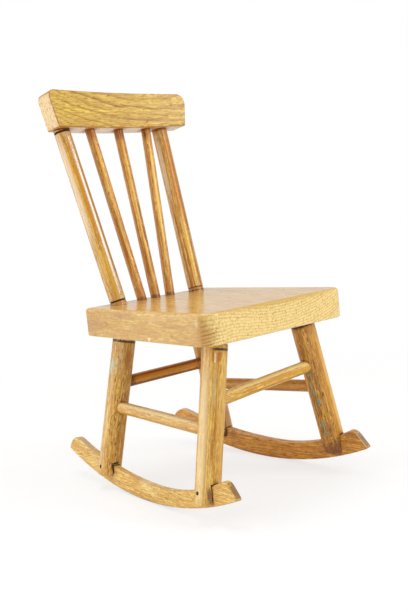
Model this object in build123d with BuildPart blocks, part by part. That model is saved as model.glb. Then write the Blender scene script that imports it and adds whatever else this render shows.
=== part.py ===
from build123d import *

import os
from math import cos, radians, sin, sqrt, tan

# A small handmade rocking chair with a straight crest rail and a back of round rods.
# Millimetres. X runs across the chair, towards the sitter's left. -Y is the front, +Z is up.
# The origin is on the floor, midway between the rockers, under the point where they touch it.

# Seat board: a plank that narrows towards the back
seat_height = 176.0  # floor to the top of the seat
seat_thickness = 27.0
seat_depth = 186.0
seat_front_width = 173.2
seat_back_width = 155.5
seat_front_corner = 14.0  # corner radii seen from above
seat_back_corner = 4.5
seat_top_edge = 3.2
seat_under_edge = 1.4
seat_lead = 20.8  # the seat's middle lies this far ahead of the rockers' low point

# Legs: straight dowels, splayed, with a tenon into the seat and a slot over the rocker
leg_diameter = 22.2
leg_edge = 0.7
leg_tenon_diameter = 14.0
leg_tenon_length = 12.0
leg_shoulder_gap = 0.5  # the square shoulder stands this far off the seat where they are nearest
leg_splay = 12.6  # degrees, outwards
front_leg_side_inset = 31.6  # from the side edge of the seat to the leg's axis
front_leg_inset = 27.1  # from the front edge of the seat
front_leg_rake = 1.7  # degrees, forwards
back_leg_side_inset = 32.4
back_leg_inset = 19.2  # from the back edge of the seat
back_leg_rake = 3.9  # degrees, backwards
front_foot_height = 17.2  # floor to the sawn end of a front leg
back_foot_height = 14.6

# Rockers: sawn boards, round below, hollowed above more sharply in front than behind.
# They were sawn by hand and differ a little above: the right board comes first, then the left
rocker_thickness = 6.4
sole_front_radius = 340.0
sole_back_radius = 359.0
rocker_lean = 4.5  # degrees, the boards lean inwards at the top
rocker_length = 266.0
rocker_setback = 2.9  # the middle of that length lies this far behind the low point of the sole
rocker_webs = (16.4, 19.2)  # height of the lowest point of the hollow above the low point of the sole
hollow_lead = 19.1  # the hollow is lowest this far ahead of the low point of the sole
hollow_front_radii = (209.0, 212.0)
hollow_back_radii = (405.0, 505.0)
rocker_grip_height = 26.1  # where the leg axes cross the middle of the board
rocker_edge = 0.6
nose_length = 12.8  # the slanted cut at the front end
nose_end_height = 2.2  # the blunt end below that cut
nose_brow_radius = 8.0  # where the cut meets the hollow
tail_length = 22.0  # the round back end
slot_gap = 0.9  # between the rocker and the outer cheek of a leg
slot_fit = 0.15  # between the rocker and the inner cheek
slot_top_gap = 0.8

# Nails that pin each leg to its rocker
nail_diameter = 1.8
nail_head_diameter = 3.2
nail_head_thickness = 0.8
nail_length = 18.0
nail_sink = 0.5  # the head lies this deep under the leg's skin
nail_drop = 2.7  # below the hollowed edge of the rocker

# Stretchers: round dowels, each with a height at both of its ends
stretcher_diameter = 11.6
stretcher_socket = 10.4  # depth of the hole in a leg
right_stretcher_heights = (74.8, 77.5)  # front end, back end
left_stretcher_heights = (83.7, 74.5)
front_stretcher_heights = (97.6, 106.0)  # right end, left end
back_stretcher_heights = (99.5, 99.5)

# Crest rail: a thick straight board, bowed a little backwards, wider at the top
crest_rise = 173.1  # top of the seat to the underside of the rail
crest_setback = 22.7  # back edge of the seat to the middle of the rail
crest_rake = 7.6  # degrees
crest_shift = 4.3  # the rail is off the middle, towards the sitter's left
crest_right_height = 36.5  # at the right end of the rail
crest_left_height = 34.4
crest_thickness = 22.4
crest_length = 157.8  # along the underside
crest_flare = 10.8  # degrees, the ends lean outwards
crest_right_corner = 7.0
crest_left_corner = 10.0
crest_bow = 4.1
crest_belly = 0.9  # the underside is a little rounder than straight
crest_edge = 1.5

# Uprights: two posts outside, three thinner rods between them
post_diameter = 16.0
post_tenon_diameter = 10.0
post_tenon_length = 10.5
post_setback = 1.3  # behind the middle of the rail's thickness
post_inset = 18.4  # from the back edge of the seat
post_seat_spots = (-49.5, 49.8)
post_crest_spots = (-64.6, 57.6)
groove_width = 1.3
groove_from_seat = 3.2
groove_from_crest = 2.9
rod_diameter = 9.7
rod_socket = 12.0
rod_setback = -2.5
rod_inset = 13.8
rod_seat_spots = (-17.9, -0.6, 18.0)
rod_crest_spots = (-32.9, 2.4, 37.5)
rod_names = ("right", "middle", "left")

# Clearances
socket_fit = 0.12  # all round a dowel in its hole
socket_end_gap = 0.5  # between a dowel's end and the bottom of its hole
face_gap = 0.12  # between a shoulder and the face that it meets
drill_lead = 8.0  # a hole is cut from this far outside the wood

seat_underside = seat_height - seat_thickness
seat_front = -seat_lead - seat_depth / 2
seat_back = -seat_lead + seat_depth / 2
leg_radius = leg_diameter / 2
post_radius = post_diameter / 2
rocker_front = rocker_setback - rocker_length / 2
rocker_back = rocker_setback + rocker_length / 2
sides = {"right": -1, "left": 1}
side_numbers = {"right": 0, "left": 1}
ends = ("front", "back")

seat_bottom_plane = Plane.XY.offset(seat_underside)
crest_plane = Plane(
    origin=(crest_shift, seat_back + crest_setback, seat_height + crest_rise),
    x_dir=(1, 0, 0),
    z_dir=Vector(0, 0, 1).rotate(Axis.X, -crest_rake),
)
crest_face_plane = Plane(origin=crest_plane.origin, x_dir=(1, 0, 0), z_dir=-crest_plane.y_dir)


# Layout of the legs, rockers and uprights


def seat_half_width(y):
    share = (y - seat_front) / seat_depth
    return (seat_front_width + share * (seat_back_width - seat_front_width)) / 2


def leg_top(side, end):
    """Where a leg's axis meets the underside of the seat."""
    if end == "front":
        y = seat_front + front_leg_inset
        side_inset = front_leg_side_inset
    else:
        y = seat_back - back_leg_inset
        side_inset = back_leg_side_inset
    return Vector(sides[side] * (seat_half_width(y) - side_inset), y, seat_underside)


def leg_fall(side, end):
    """Direction of a leg's axis downwards, one unit down."""
    rake = -tan(radians(front_leg_rake)) if end == "front" else tan(radians(back_leg_rake))
    return Vector(sides[side] * tan(radians(leg_splay)), rake, -1)


def leg_point(side, end, height):
    """The point of a leg's axis at a height above the floor."""
    return leg_top(side, end) + leg_fall(side, end) * (seat_underside - height)


def rocker_plane(side):
    """Plane through the middle of a leaning rocker: x runs back, y runs up the board.

    The lower inside edge of the board touches the floor.
    """
    front = leg_point(side, "front", rocker_grip_height)
    back = leg_point(side, "back", rocker_grip_height)
    run = (back - front).normalized()
    lean = radians(rocker_lean)
    across = run.cross(Vector(-sides[side] * sin(lean), 0, cos(lean))).normalized()
    up = across.cross(run)
    grip = front - run * (front.Y / run.Y)
    sole_height = (rocker_thickness / 2 - rocker_edge) * sin(lean)
    low_point = grip - up * ((rocker_grip_height - sole_height) / up.Z)
    return Plane(origin=low_point, x_dir=run, z_dir=across)


def foot_height(end):
    return front_foot_height if end == "front" else back_foot_height


def crest_bow_at(x):
    """How far the rail's middle line lies behind its straight chord."""
    return crest_bow * (1 - (x / (crest_length / 2)) ** 2)


def crest_point(x, setback):
    local_x = x - crest_shift
    return crest_plane.from_local_coords(Vector(local_x, crest_bow_at(local_x) + setback, 0))


def upright(seat_x, inset, crest_x, setback):
    """The two points that an upright's axis joins: on the seat and under the rail."""
    return Vector(seat_x, seat_back - inset, seat_height), crest_point(crest_x, setback)


posts = {
    side: upright(seat_x, post_inset, crest_x, post_setback)
    for side, seat_x, crest_x in zip(sides, post_seat_spots, post_crest_spots)
}
rods = {
    name: upright(seat_x, rod_inset, crest_x, rod_setback)
    for name, seat_x, crest_x in zip(rod_names, rod_seat_spots, rod_crest_spots)
}

stretchers = {
    "right": (("right", "front"), ("right", "back"), right_stretcher_heights),
    "left": (("left", "front"), ("left", "back"), left_stretcher_heights),
    "front": (("right", "front"), ("left", "front"), front_stretcher_heights),
    "back": (("right", "back"), ("left", "back"), back_stretcher_heights),
}


def stretcher_points(name):
    """The points of the two leg axes that a stretcher runs between."""
    first, second, heights = stretchers[name]
    return leg_point(*first, heights[0]), leg_point(*second, heights[1])


# Operations that several pieces share


def cut_socket(mouth, inwards, diameter, depth):
    """Blind round hole with a flat end, in the part under construction."""
    inwards = inwards.normalized()
    with BuildSketch(Plane(origin=mouth - inwards * drill_lead, z_dir=inwards)) as bore:
        Circle(diameter / 2 + socket_fit)
    extrude(bore.sketch, amount=drill_lead + depth + socket_end_gap, mode=Mode.SUBTRACT)


def add_dowel(start, direction, diameter, length):
    with BuildSketch(Plane(origin=start, z_dir=direction)) as section:
        Circle(diameter / 2)
    extrude(section.sketch, amount=length)


def nail_plane(side, end):
    """Plane at the sunk face of a nail's head: its z axis points into the leg."""
    board = rocker_plane(side)
    run = board.to_local_coords(leg_point(side, end, rocker_grip_height)).X
    upper_edge = hollow_point(side, run)[1]
    height = board.from_local_coords(Vector(run, upper_edge - nail_drop, 0)).Z
    outwards = board.z_dir * sides[side]
    head = leg_point(side, end, height) + outwards * (leg_radius - nail_sink)
    return Plane(origin=head, z_dir=-outwards)


def cut_nail_hole(side, end):
    with BuildSketch(nail_plane(side, end)) as bore:
        Circle(nail_diameter / 2 + socket_fit)
    extrude(bore.sketch, amount=nail_length + socket_end_gap, mode=Mode.SUBTRACT)
    with BuildSketch(nail_plane(side, end).offset(nail_head_thickness + face_gap)) as recess:
        Circle(nail_head_diameter / 2 + socket_fit)
    extrude(recess.sketch, amount=-drill_lead, mode=Mode.SUBTRACT)


def save(piece, name):
    piece.part.label = name
    export_step(piece.part, f"parts/{name}.step")


os.makedirs("parts", exist_ok=True)


# Seat

with BuildPart() as seat:
    with BuildSketch(seat_bottom_plane):
        with BuildLine():
            Polyline(
                (-seat_front_width / 2, seat_front),
                (seat_front_width / 2, seat_front),
                (seat_back_width / 2, seat_back),
                (-seat_back_width / 2, seat_back),
                close=True,
            )
        make_face()
        fillet(vertices().group_by(Axis.Y)[0], radius=seat_front_corner)
        fillet(vertices().group_by(Axis.Y)[-1], radius=seat_back_corner)
    extrude(amount=seat_thickness)
    fillet(faces().sort_by(Axis.Z)[-1].edges(), radius=seat_top_edge)
    fillet(faces().sort_by(Axis.Z)[0].edges(), radius=seat_under_edge)
    for side in sides:
        for end in ends:
            cut_socket(leg_top(side, end), -leg_fall(side, end), leg_tenon_diameter, leg_tenon_length)
    for on_seat, on_crest in posts.values():
        cut_socket(on_seat, on_seat - on_crest, post_tenon_diameter, post_tenon_length)
    for on_seat, on_crest in rods.values():
        cut_socket(on_seat, on_seat - on_crest, rod_diameter, rod_socket)
save(seat, "seat")


# Crest rail

crest_top_right = -crest_length / 2 - crest_right_height * tan(radians(crest_flare))
crest_top_left = crest_length / 2 + crest_left_height * tan(radians(crest_flare))
blank_half = max(-crest_top_right, crest_top_left) + crest_left_corner
blank_height = max(crest_right_height, crest_left_height) + 4 * crest_belly

with BuildPart() as crest_rail:
    with BuildSketch(crest_plane.offset(-2 * crest_belly)):
        with BuildLine():
            near = -crest_thickness / 2
            far = crest_thickness / 2
            bow_end = crest_bow_at(blank_half)
            near_arc = ThreePointArc(
                (-blank_half, near + bow_end), (0, near + crest_bow), (blank_half, near + bow_end)
            )
            far_arc = ThreePointArc(
                (-blank_half, far + bow_end), (0, far + crest_bow), (blank_half, far + bow_end)
            )
            Line(near_arc @ 0, far_arc @ 0)
            Line(near_arc @ 1, far_arc @ 1)
        make_face()
    extrude(amount=blank_height)
    with BuildSketch(crest_face_plane):
        with BuildLine():
            underside = ThreePointArc(
                (-crest_length / 2, 0), (0, -crest_belly), (crest_length / 2, 0)
            )
            Polyline(
                underside @ 1,
                (crest_top_left, crest_left_height),
                (crest_top_right, crest_right_height),
                underside @ 0,
            )
        make_face()
        fillet(vertices().sort_by(Axis.X)[0], radius=crest_right_corner)
        fillet(vertices().sort_by(Axis.X)[-1], radius=crest_left_corner)
    extrude(amount=2 * crest_thickness, both=True, mode=Mode.INTERSECT)
    fillet(edges(), radius=crest_edge)
    for on_seat, on_crest in posts.values():
        cut_socket(on_crest, on_crest - on_seat, post_tenon_diameter, post_tenon_length)
    for on_seat, on_crest in rods.values():
        cut_socket(on_crest, on_crest - on_seat, rod_diameter, rod_socket)
save(crest_rail, "crest_rail")


# Outer posts: a turned groove near each end, a tenon beyond each shoulder

seat_shoulder = Plane.XY.offset(seat_height + face_gap)
crest_shoulder = crest_plane.offset(-crest_belly - face_gap)


def make_post(on_seat, on_crest):
    rise = on_crest - on_seat
    axis = rise.normalized()
    with BuildPart() as post:
        add_dowel(on_seat - axis * post_radius, axis, post_diameter, rise.length + post_diameter)
        split(bisect_by=seat_shoulder, keep=Keep.TOP)
        split(bisect_by=crest_shoulder, keep=Keep.BOTTOM)
        add_dowel(
            on_seat - axis * post_tenon_length,
            axis,
            post_tenon_diameter,
            rise.length + 2 * post_tenon_length,
        )
        for distance in (groove_from_seat, rise.length - groove_from_crest):
            with Locations(Plane(origin=on_seat + axis * distance, z_dir=axis).location):
                Torus(post_radius, groove_width / 2, mode=Mode.SUBTRACT)
    return post


for side, points in posts.items():
    save(make_post(*points), f"{side}_post")


# Rods of the back


def make_rod(on_seat, on_crest):
    rise = on_crest - on_seat
    axis = rise.normalized()
    with BuildPart() as rod:
        add_dowel(on_seat - axis * rod_socket, axis, rod_diameter, rise.length + 2 * rod_socket)
    return rod


for name, points in rods.items():
    save(make_rod(*points), f"{name}_back_rod")


# Rockers


def sole(run):
    """Height of the round sole at a distance from its low point."""
    radius = sole_front_radius if run < 0 else sole_back_radius
    return radius - sqrt(radius**2 - run**2)


def hollow_point(side, run):
    """Point of one board's hollowed upper edge at a distance from the low point of the sole."""
    number = side_numbers[side]
    from_lowest = run + hollow_lead
    radius = hollow_front_radii[number] if from_lowest < 0 else hollow_back_radii[number]
    return run, rocker_webs[number] + radius - sqrt(radius**2 - from_lowest**2)


nose_foot = (rocker_front, sole(rocker_front))
nose_tip = (rocker_front, sole(rocker_front) + nose_end_height)
tail_foot = (rocker_back, sole(rocker_back))
nose_start = rocker_front + nose_length
tail_start = rocker_back - tail_length


def rocker_outline(side):
    with BuildSketch() as outline:
        with BuildLine():
            ThreePointArc(nose_foot, (rocker_front / 2, sole(rocker_front / 2)), (0, 0))
            ThreePointArc((0, 0), (rocker_back / 2, sole(rocker_back / 2)), tail_foot)
            back_hollow = ThreePointArc(
                hollow_point(side, tail_start),
                hollow_point(side, (tail_start - hollow_lead) / 2),
                hollow_point(side, -hollow_lead),
            )
            front_hollow = ThreePointArc(
                hollow_point(side, -hollow_lead),
                hollow_point(side, (nose_start - hollow_lead) / 2),
                hollow_point(side, nose_start),
            )
            Polyline(front_hollow @ 1, nose_tip, nose_foot)
            TangentArc(back_hollow @ 0, tail_foot, tangent=-(back_hollow % 0))
        make_face()
        fillet(vertices().sort_by_distance(front_hollow @ 1)[0], radius=nose_brow_radius)
    return outline.sketch


rocker_outlines = {side: rocker_outline(side) for side in sides}


def make_rocker(side):
    with BuildPart() as rocker:
        with BuildSketch(rocker_plane(side)):
            add(rocker_outlines[side])
        extrude(amount=rocker_thickness / 2, both=True)
        chamfer(edges().filter_by(rocker_plane(side)), length=rocker_edge)
        for end in ends:
            cut_nail_hole(side, end)
    return rocker


# Legs


def cut_rocker_slot(side):
    """Sawn slot that follows the rocker, with the wider gap at the outer cheek."""
    slot_plane = rocker_plane(side).offset(sides[side] * (slot_gap - slot_fit) / 2)
    with BuildSketch(slot_plane) as slot:
        add(rocker_outlines[side])
        offset(amount=slot_top_gap)
    half_width = (rocker_thickness + slot_gap + slot_fit) / 2
    extrude(slot.sketch, amount=half_width, both=True, mode=Mode.SUBTRACT)


def make_leg(side, end):
    top = leg_top(side, end)
    fall = leg_fall(side, end)
    axis = -fall.normalized()
    foot = leg_point(side, end, 0)
    with BuildPart() as leg:
        lean = axis.get_angle(Vector(0, 0, 1))
        shoulder = (top - foot).length - leg_radius * tan(radians(lean)) - leg_shoulder_gap
        add_dowel(foot, axis, leg_diameter, shoulder)
        split(bisect_by=Plane.XY.offset(foot_height(end)), keep=Keep.TOP)
        chamfer(edges().group_by(Axis.Z)[-1], length=leg_edge)
        chamfer(edges().group_by(Axis.Z)[0], length=leg_edge)
        add_dowel(top - axis * leg_radius, axis, leg_tenon_diameter, leg_radius + leg_tenon_length)
        for name, (first, second, _) in stretchers.items():
            points = stretcher_points(name)
            if (side, end) == first:
                cut_stretcher_hole(*points)
            elif (side, end) == second:
                cut_stretcher_hole(*reversed(points))
        cut_rocker_slot(side)
        cut_nail_hole(side, end)
    return leg


def cut_stretcher_hole(here, there):
    """Hole in the leg at one end of a stretcher, aimed away from its other end."""
    outwards = (here - there).normalized()
    cut_socket(here - outwards * leg_radius, outwards, stretcher_diameter, stretcher_socket)


for side in sides:
    save(make_rocker(side), f"{side}_rocker")
    for end in ends:
        save(make_leg(side, end), f"{side}_{end}_leg")


# Stretchers


def make_stretcher(name):
    start, finish = stretcher_points(name)
    axis = (finish - start).normalized()
    buried = leg_radius - stretcher_socket
    length = (finish - start).length - 2 * buried
    with BuildPart() as stretcher:
        add_dowel(start + axis * buried, axis, stretcher_diameter, length)
    return stretcher


for name in stretchers:
    save(make_stretcher(name), f"{name}_stretcher")


# Nails


def make_nail(side, end):
    with BuildPart() as nail:
        with BuildSketch(nail_plane(side, end)):
            Circle(nail_head_diameter / 2)
        extrude(amount=nail_head_thickness)
        with BuildSketch(nail_plane(side, end)):
            Circle(nail_diameter / 2)
        extrude(amount=nail_length)
    return nail


for side in sides:
    for end in ends:
        save(make_nail(side, end), f"{side}_{end}_nail")
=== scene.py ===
from functools import partial
from math import cos, radians, sin

import bpy
import numpy as np
from mathutils import Matrix, Vector

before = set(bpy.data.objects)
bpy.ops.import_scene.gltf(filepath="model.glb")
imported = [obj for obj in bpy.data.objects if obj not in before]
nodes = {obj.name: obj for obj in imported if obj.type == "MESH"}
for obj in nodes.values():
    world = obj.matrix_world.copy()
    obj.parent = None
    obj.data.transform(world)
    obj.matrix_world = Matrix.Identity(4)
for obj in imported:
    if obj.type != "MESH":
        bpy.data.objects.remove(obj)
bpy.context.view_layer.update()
scene = bpy.context.scene
scene.view_settings.view_transform = "Standard"
print("stage: frame loaded,", len(nodes), "nodes")

# Camera, lamps, world and floor, in metres

cameraValues = {
    "place": (-0.51351, -0.61168, 0.25536),
    "turn": 40.668, "tilt": -6.287, "roll": -5.590,  # degrees, the turn from +Y towards +X
    "lens": 49.30, "sensor": 36, "nearest": 0.02,
}


def aimCamera(values):
    turn, tilt, roll = (radians(values[k]) for k in ("turn", "tilt", "roll"))
    ahead = Vector((sin(turn) * cos(tilt), cos(turn) * cos(tilt), sin(tilt)))
    level = ahead.cross(Vector((0, 0, 1))).normalized()
    above = level.cross(ahead)
    right = level * cos(roll) + above * sin(roll)
    up = above * cos(roll) - level * sin(roll)
    data = bpy.data.cameras.new("camera")
    data.sensor_width, data.lens, data.clip_start = values["sensor"], values["lens"], values["nearest"]
    camera = bpy.data.objects.new("camera", data)
    turned = Matrix((right, up, -ahead)).transposed().to_4x4()
    camera.matrix_world = Matrix.Translation(values["place"]) @ turned
    scene.collection.objects.link(camera)
    scene.camera = camera


aimCamera(cameraValues)

softboxes = {  # place, aim, width, height, watts
    "keyRight": ((0.55, -1.25, 0.95), (0.0, 0.0, 0.20), 0.6, 1.0, 11.2),
    "fillLeft": ((-1.13, 0.60, 0.50), (0.0, 0.0, 0.20), 1.5, 1.2, 10.8),
    "top": ((-0.1, 0.1, 1.5), (0.0, 0.0, 0.15), 0.9, 0.9, 10.0),
}

for name, (place, aim, width, height, watts) in softboxes.items():
    data = bpy.data.lights.new(name, "AREA")
    data.shape = "RECTANGLE"
    data.size, data.size_y, data.energy = width, height, watts
    lamp = bpy.data.objects.new(name, data)
    away = Vector(place) - Vector(aim)
    lamp.matrix_world = Matrix.Translation(place) @ away.to_track_quat("Z", "Y").to_matrix().to_4x4()
    scene.collection.objects.link(lamp)


# A node with its inputs set or linked; an input given as None keeps its own value
def addNode(tree, kind, inputs=None, **settings):
    node = tree.nodes.new(kind)
    for key, value in settings.items():
        setattr(node, key, value)
    for key, value in (inputs or {}).items():
        if isinstance(value, bpy.types.NodeSocket):
            tree.links.new(value, node.inputs[key])
        elif value is not None:
            node.inputs[key].default_value = value
    return node


def calc(tree, operation, first, second=None, clamp=False):
    return addNode(tree, "ShaderNodeMath", {0: first, 1: second}, operation=operation, use_clamp=clamp).outputs[0]


def vecCalc(tree, operation, first, second=None, scale=None):
    node = addNode(tree, "ShaderNodeVectorMath", {0: first, 1: second, "Scale": scale}, operation=operation)
    return node.outputs["Value" if operation in ("LENGTH", "DOT_PRODUCT") else "Vector"]


def splitUp(tree, vector):
    return addNode(tree, "ShaderNodeSeparateXYZ", {0: vector}).outputs


# A Mix node's sockets go by number, because several of them are called A and B
def mixColors(tree, share, first, second):
    return addNode(tree, "ShaderNodeMix", {0: share, 6: first, 7: second}, data_type="RGBA").outputs[2]


def mixValues(tree, share, first, second):
    return addNode(tree, "ShaderNodeMix", {0: share, 2: first, 3: second}).outputs[0]


# A soft step from toLow to toHigh as the value goes from fromLow to fromHigh
def remap(tree, value, fromLow, fromHigh, toLow=0.0, toHigh=1.0):
    return addNode(tree, "ShaderNodeMapRange", {
        "Value": value, "From Min": fromLow, "From Max": fromHigh, "To Min": toLow, "To Max": toHigh},
        interpolation_type="SMOOTHSTEP").outputs[0]


studioValues = {"ambient": (0.50, 0.50, 0.51), "backdrop": (1.0, 1.0, 1.0), "mirrored": 0.5}


def buildWorld(values):
    world = bpy.data.worlds.new("studio")
    scene.world = world
    world.use_nodes = True
    tree = world.node_tree
    tree.nodes.clear()
    path = addNode(tree, "ShaderNodeLightPath").outputs
    seen = calc(tree, "MAXIMUM", path["Is Camera Ray"], path["Is Transmission Ray"])
    mirrored = calc(tree, "MULTIPLY", path["Is Glossy Ray"], values["mirrored"])
    share = calc(tree, "MAXIMUM", seen, mirrored)
    color = mixColors(tree, share, (*values["ambient"], 1), (*values["backdrop"], 1))
    light = addNode(tree, "ShaderNodeBackground", {"Color": color, "Strength": 1.0})
    addNode(tree, "ShaderNodeOutputWorld", {0: light.outputs[0]})


buildWorld(studioValues)


def newMaterial(name):
    material = bpy.data.materials.new(name)
    material.use_nodes = True
    material.node_tree.nodes.clear()
    return material, material.node_tree


floorValues = {
    "tint": (0.90, 0.885, 0.865), "spokes": 96, "rings": 24, "inner": 0.02, "reach": 4.0, "height": -0.0002,
    "lift": 0.70, "liftEnds": (0.25, 0.75),  # how white the floor is under the object, and where it turns all white
}


# Disc of rings about the origin: x = r cos t, y = r sin t, with r growing as the square of the ring number
def buildFloor(values, backdrop):
    spokes, rings = values["spokes"], values["rings"]
    angle = np.linspace(0, 2 * np.pi, spokes, endpoint=False)
    radius = values["inner"] + values["reach"] * np.linspace(0, 1, rings) ** 2
    r, t = np.meshgrid(radius, angle, indexing="ij")
    points = np.stack([r * np.cos(t), r * np.sin(t), np.full_like(r, values["height"])], -1).reshape(-1, 3)
    points = np.vstack([points, [[0, 0, values["height"]]]])
    i, j = np.meshgrid(np.arange(rings - 1), np.arange(spokes), indexing="ij")
    k = (j + 1) % spokes
    quads = np.stack([i * spokes + j, (i + 1) * spokes + j, (i + 1) * spokes + k, i * spokes + k], -1).reshape(-1, 4)
    spoke = np.arange(spokes)
    middle = np.stack([np.full(spokes, len(points) - 1), spoke, (spoke + 1) % spokes], -1)
    mesh = bpy.data.meshes.new("floor")
    mesh.from_pydata(points.tolist(), [], quads.tolist() + middle.tolist())
    floor = bpy.data.objects.new("floor", mesh)
    scene.collection.objects.link(floor)
    material, tree = newMaterial("paleFloor")
    coord = addNode(tree, "ShaderNodeTexCoord").outputs["Object"]
    away = remap(tree, vecCalc(tree, "LENGTH", coord), *values["liftEnds"])
    paper = addNode(tree, "ShaderNodeBsdfDiffuse", {"Color": (*values["tint"], 1)})
    white = addNode(tree, "ShaderNodeEmission", {"Color": (*backdrop, 1), "Strength": 1.0})
    lift = mixValues(tree, away, values["lift"], 1.0)  # the shadow shows near the object only
    seen = calc(tree, "MULTIPLY", addNode(tree, "ShaderNodeLightPath").outputs["Is Camera Ray"], lift)
    blend = addNode(tree, "ShaderNodeMixShader", {0: seen, 1: paper.outputs[0], 2: white.outputs[0]})
    addNode(tree, "ShaderNodeOutputMaterial", {0: blend.outputs[0]})
    mesh.materials.append(material)


buildFloor(floorValues, studioValues["backdrop"])
print("stage: camera, lamps, world and floor")

# Effects that several finishes share, all on lengths in millimetres


def newGroup(name, inputs, outputs):
    tree = bpy.data.node_groups.new(name, "ShaderNodeTree")
    for label, kind, value in inputs:
        socket = tree.interface.new_socket(name=label, in_out="INPUT", socket_type="NodeSocket" + kind)
        if value is not None:
            socket.default_value = value
    for label in outputs:
        tree.interface.new_socket(name=label, in_out="OUTPUT", socket_type="NodeSocketFloat")
    return tree, addNode(tree, "NodeGroupInput").outputs, addNode(tree, "NodeGroupOutput").inputs


def useGroup(tree, group, inputs):
    return addNode(tree, "ShaderNodeGroup", inputs, node_tree=group).outputs


def scaledBy(tree, vector, x, y, z):
    split = splitUp(tree, vector)
    return addNode(tree, "ShaderNodeCombineXYZ", {
        axis: calc(tree, "DIVIDE", split[axis], size) for axis, size in enumerate((x, y, z))}).outputs[0]


def noiseOf(tree, vector, detail=2.0, roughness=0.5, distortion=0.0):
    return addNode(tree, "ShaderNodeTexNoise", {
        "Vector": vector, "Scale": 1.0, "Detail": detail, "Roughness": roughness, "Distortion": distortion}).outputs


ringValues = {
    "bendSize": 14.0, "bendRoughness": 0.45,  # the noise that bends the rings
    "lateEnd": 0.90, "faintest": 0.45,  # share of a ring where its late wood ends, strength of the faintest ring
    "unevenSize": (5.0, 5.0, 22.0), "unevenEnds": (0.3, 0.6), "palest": 0.45,  # late wood paler here and there
}


# Growth rings round a heart line beside the piece: ring number = distance from the heart / spacing, and the
# late wood is the dark end of each ring. A knot lifts the rings near it by a bell curve of the distance
def makeGrowthRings(values):
    tree, given, result = newGroup("growthRings", [
        ("Vector", "Vector", None), ("Heart X", "Float", 30.0), ("Heart Y", "Float", 0.0),
        ("Lean", "Float", 0.0), ("Bend", "Float", 0.0), ("Spacing", "Float", 4.0),
        ("Wander", "Float", 3.0), ("Wander Length", "Float", 60.0), ("Late Width", "Float", 0.35),
        ("Knot", "Vector", (0, 0, 0)), ("Knot Size", "Float", 20.0), ("Knot Lift", "Float", 0.0),
    ], ["Late"])
    split = splitUp(tree, given["Vector"])
    size = values["bendSize"]
    noise = noiseOf(tree, scaledBy(tree, given["Vector"], size, size, given["Wander Length"]),
                    roughness=values["bendRoughness"])["Color"]
    shift = vecCalc(tree, "SUBTRACT", noise, (0.5, 0.5, 0.5))
    shift = splitUp(tree, vecCalc(tree, "SCALE", shift, scale=calc(tree, "MULTIPLY", given["Wander"], 2.0)))
    drift = calc(tree, "ADD", calc(tree, "MULTIPLY", split[2], given["Lean"]),
                 calc(tree, "MULTIPLY", calc(tree, "MULTIPLY", split[2], split[2]), given["Bend"]))
    near = vecCalc(tree, "LENGTH", vecCalc(tree, "SUBTRACT", given["Vector"], given["Knot"]))
    near = calc(tree, "DIVIDE", near, given["Knot Size"])
    bell = calc(tree, "EXPONENT", calc(tree, "MULTIPLY", calc(tree, "MULTIPLY", near, near), -1.0))
    drift = calc(tree, "ADD", drift, calc(tree, "MULTIPLY", bell, given["Knot Lift"]))
    x = calc(tree, "ADD", calc(tree, "SUBTRACT", split[0], given["Heart X"]), shift[0])
    y = calc(tree, "ADD", calc(tree, "SUBTRACT", split[1], given["Heart Y"]), shift[1])
    y = calc(tree, "ADD", y, drift)
    distance = calc(tree, "SQRT", calc(tree, "ADD", calc(tree, "MULTIPLY", x, x), calc(tree, "MULTIPLY", y, y)))
    number = calc(tree, "DIVIDE", distance, given["Spacing"])
    part = calc(tree, "FRACT", number)
    rise = remap(tree, part, calc(tree, "SUBTRACT", values["lateEnd"], given["Late Width"]), values["lateEnd"])
    fall = remap(tree, part, values["lateEnd"], 1.0)
    whole = calc(tree, "FLOOR", number)
    tone = addNode(tree, "ShaderNodeTexWhiteNoise", {"W": whole}, noise_dimensions="1D").outputs[0]
    late = calc(tree, "MULTIPLY", rise, calc(tree, "SUBTRACT", 1.0, fall))
    patches = noiseOf(tree, scaledBy(tree, given["Vector"], *values["unevenSize"]))["Fac"]
    uneven = remap(tree, patches, *values["unevenEnds"], values["palest"], 1.0)
    strength = mixValues(tree, tone, values["faintest"], 1.0)
    tree.links.new(calc(tree, "MULTIPLY", calc(tree, "MULTIPLY", late, uneven), strength), result["Late"])
    return tree


fibreNoises = {  # size across and along in millimetres or an input, detail, roughness, distortion, ends of the mask
    "Fibre": ("Fibre Width", 14.0, 3.0, 0.65, 0.0, (0.42, 0.58)),
    "Pores": (1.0, "Pore Length", 2.0, 0.60, 0.0, (0.56, 0.63)),
    "Mottle": (2.4, 5.0, 2.0, 0.60, 0.0, (0.44, 0.60)),
    "Streak": ("Streak Width", "Streak Length", 4.0, 0.55, 0.25, (0.47, 0.60)),
    "Band": ("Streak Width", "Streak Length", 3.0, 0.50, 0.15, (0.47, 0.60)),
    "Lines": (3.2, 120.0, 2.0, 0.50, 0.10, (0.030, 0.0)),
    "Blotch": (13.0, 26.0, 3.0, 0.60, 0.0, (0.38, 0.66)),
    "Waves": (9.0, 55.0, 1.0, 0.50, 0.0, None),
}
seedStep, otherPlace = (37.1, 11.7, 53.9), (91.0, 47.0, 13.0)  # so that no two noises are cut at the same place


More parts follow.
